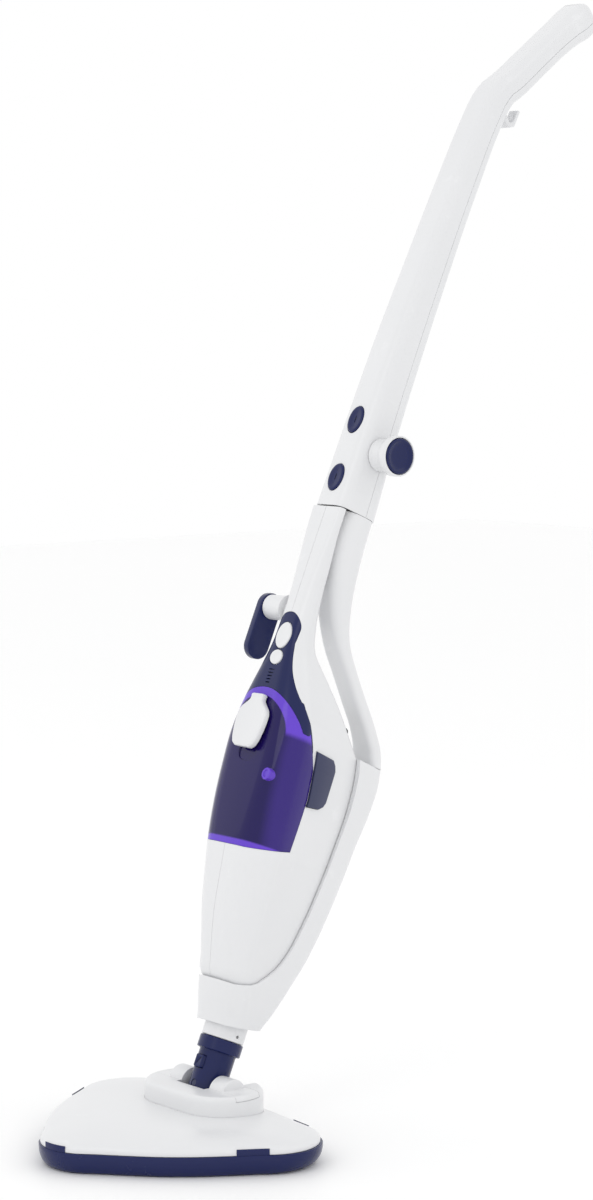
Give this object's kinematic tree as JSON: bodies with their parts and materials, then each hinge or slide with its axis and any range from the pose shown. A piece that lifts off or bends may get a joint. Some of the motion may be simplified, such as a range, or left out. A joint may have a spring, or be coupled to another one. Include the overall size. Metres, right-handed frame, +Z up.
{
  "type": "steam mop",
  "caption": "Upright steam mop: triangular swivel floor head with pad and glider, lift-out hand-held steamer with clear tank, bowed handle with cord posts.",
  "frame": {"origin": "on the floor at the middle of the sole, under the floor head", "axes": "+Z up, -Y towards the nose of the floor head, +X across to the right of a person facing the front; the upright leans back towards +Y"},
  "size_m": [0.2924, 0.6449, 1.0329],
  "materials": {
    "white_plastic": "smooth moulded, light satin gloss",
    "navy_plastic": "glossy moulded",
    "slate_plastic": "satin moulded",
    "violet_clear": "clear tinted plastic",
    "black_rubber": "matt",
    "steel_wire": "bare",
    "brass": "turned",
    "cast_alloy": "cast",
    "board_green": "lacquered board",
    "hose_clear": "translucent silicone",
    "microfibre": "short looped pile"
  },
  "bodies": {
    "frame": {"pole_front_shell": "white_plastic", "pole_rear_shell": "white_plastic", "grip_end_plug": "white_plastic", "cord_clip": "white_plastic", "upper_release_spring": "steel_wire", "lower_release_spring": "steel_wire", "upper_cord_post": "white_plastic", "upper_cord_post_cap": "navy_plastic", "bow_arm": "white_plastic", "cradle": "white_plastic", "frame_spout": "white_plastic"},
    "upper_release": {"upper_release_button": "navy_plastic"},
    "lower_release": {"lower_release_button": "navy_plastic"},
    "unit": {"unit_left_shell": "white_plastic", "unit_right_shell": "white_plastic", "control_panel": "navy_plastic", "tank_bay": "slate_plastic", "hook_post": "white_plastic", "boiler": "cast_alloy", "water_pump": "black_rubber", "circuit_board": "board_green", "steam_switch": "black_rubber", "tank_valve": "brass", "feed_hose": "hose_clear", "boiler_hose": "hose_clear", "steam_nozzle": "brass", "cord_gland": "black_rubber"},
    "tank": {"water_tank": "violet_clear"},
    "filler_cap": {"tank_cap": "white_plastic", "tank_cap_seal": "black_rubber"},
    "left_tab": {"tank_tab_left": "slate_plastic"},
    "right_tab": {"tank_tab_right": "slate_plastic"},
    "steam_key": {"steam_button": "white_plastic"},
    "power_key": {"power_button": "white_plastic"},
    "lower_cord_hook": {"swivel_cord_hook": "navy_plastic"},
    "neck": {"neck_adapter": "navy_plastic", "neck_hose": "hose_clear"},
    "neck_latch": {"neck_latch_button": "navy_plastic"},
    "gimbal": {"gimbal_ring": "slate_plastic"},
    "head": {"head_cover": "white_plastic", "joint_housing": "white_plastic", "pivot_cap_left": "white_plastic", "pivot_cap_right": "white_plastic", "base_plate": "slate_plastic", "base_seal": "black_rubber", "microfibre_pad": "microfibre", "head_hose": "hose_clear"},
    "glider": {"carpet_glider": "navy_plastic"}
  },
  "joints": [
    {"name": "upper_release_press", "type": "slide", "parent": "frame", "child": "upper_release", "axis": [0, 0.9171, -0.3987], "range_m": [0, 0.003], "stiffness_N_per_m": 400},
    {"name": "lower_release_press", "type": "slide", "parent": "frame", "child": "lower_release", "axis": [0, 0.9171, -0.3987], "range_m": [0, 0.003], "stiffness_N_per_m": 400},
    {"name": "unit_tilt", "type": "hinge", "parent": "frame", "child": "unit", "pos_m": [0, 0.07257, 0.14464], "axis": [1, 0, 0], "range_deg": [0, 12]},
    {"name": "tank_slide", "type": "slide", "parent": "unit", "child": "tank", "axis": [0, -0.9171, 0.3987], "range_m": [0, 0.06]},
    {"name": "filler_cap_swing", "type": "hinge", "parent": "tank", "child": "filler_cap", "pos_m": [0, 0.12838, 0.39462], "axis": [-1, 0, 0], "range_deg": [0, 110]},
    {"name": "left_tab_squeeze", "type": "slide", "parent": "unit", "child": "left_tab", "axis": [1, 0, 0], "range_m": [0, 0.002], "stiffness_N_per_m": 500},
    {"name": "right_tab_squeeze", "type": "slide", "parent": "unit", "child": "right_tab", "axis": [-1, 0, 0], "range_m": [0, 0.002], "stiffness_N_per_m": 500},
    {"name": "steam_button_press", "type": "slide", "parent": "unit", "child": "steam_key", "axis": [0, 0.9171, -0.3987], "range_m": [0, 0.0014], "stiffness_N_per_m": 500},
    {"name": "power_button_press", "type": "slide", "parent": "unit", "child": "power_key", "axis": [0, 0.9171, -0.3987], "range_m": [0, 0.0014], "stiffness_N_per_m": 500},
    {"name": "cord_hook_swivel", "type": "hinge", "parent": "unit", "child": "lower_cord_hook", "pos_m": [0, 0.18023, 0.46749], "axis": [1, 0, 0], "range_deg": [0, 180]},
    {"name": "neck_pull_off", "type": "slide", "parent": "frame", "child": "neck", "axis": [0, -0.3987, -0.9171], "range_m": [0, 0.03]},
    {"name": "neck_latch_press", "type": "slide", "parent": "neck", "child": "neck_latch", "axis": [0, 0.9171, -0.3987], "range_m": [0, 0.0022], "stiffness_N_per_m": 500},
    {"name": "neck_roll", "type": "hinge", "parent": "neck", "child": "gimbal", "pos_m": [0, 0.0685, 0.045], "axis": [0, 0.9171, -0.3987], "range_deg": [-11, 11]},
    {"name": "head_pitch", "type": "hinge", "parent": "gimbal", "child": "head", "pos_m": [0, 0.0685, 0.045], "axis": [1, 0, 0], "range_deg": [-23.5, 40]},
    {"name": "glider_unclip", "type": "slide", "parent": "head", "child": "glider", "axis": [0, 0, -1], "range_m": [0, 0.03]}
  ]
}
